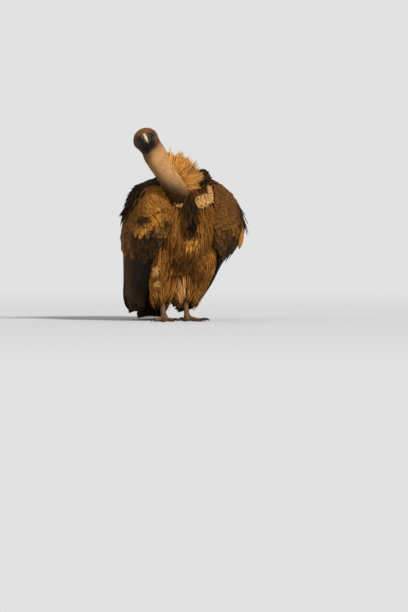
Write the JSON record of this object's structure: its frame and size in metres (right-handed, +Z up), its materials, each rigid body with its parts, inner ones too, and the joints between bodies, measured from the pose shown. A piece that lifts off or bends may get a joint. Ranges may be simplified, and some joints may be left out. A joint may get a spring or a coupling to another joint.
{
  "type": "griffon vulture",
  "caption": "Griffon vulture standing upright with folded wings, its neck leaning to its right: a still, life-size model.",
  "frame": {"origin": "on the ground, under the middle of the bounding box", "axes": "+Z up, the bird faces -Y, and +X is the bird's left"},
  "size_m": [0.4796, 0.5854, 0.7146],
  "materials": {
    "head_down": "short brown down",
    "neck_down": "short buff down",
    "ruff_feathers": "long golden-buff lance-shaped feathers",
    "body_feathers": "streaked brown body feathers",
    "crop_feathers": "short dark brown feathers",
    "wing_coverts": "brown coverts with pale edges",
    "flight_feathers": "blackish-brown flight and tail feathers",
    "leg_skin": "scaled grey-brown skin",
    "claw": "smooth dark horn",
    "bill": "satin horn, dark at the sides and pale along the ridge",
    "eye": "wet gloss"
  },
  "bodies": {
    "root": {"head": "head_down", "eye_left": "eye", "eye_right": "eye", "bill_upper": "bill", "bill_lower": "bill", "trunk": "body_feathers", "neck": "neck_down", "crop": "crop_feathers", "ruff": "ruff_feathers", "wing_left": "wing_coverts", "wing_right": "wing_coverts", "flight_feathers_left": "flight_feathers", "flight_feathers_right": "flight_feathers", "thigh_left": "body_feathers", "thigh_right": "body_feathers", "tarsus_left": "leg_skin", "tarsus_right": "leg_skin", "foot_left": "leg_skin", "foot_right": "leg_skin", "claw_middle_left": "claw", "claw_outer_left": "claw", "claw_inner_left": "claw", "claw_hind_left": "claw", "claw_middle_right": "claw", "claw_outer_right": "claw", "claw_inner_right": "claw", "claw_hind_right": "claw", "tail": "flight_feathers"}
  },
  "joints": []
}
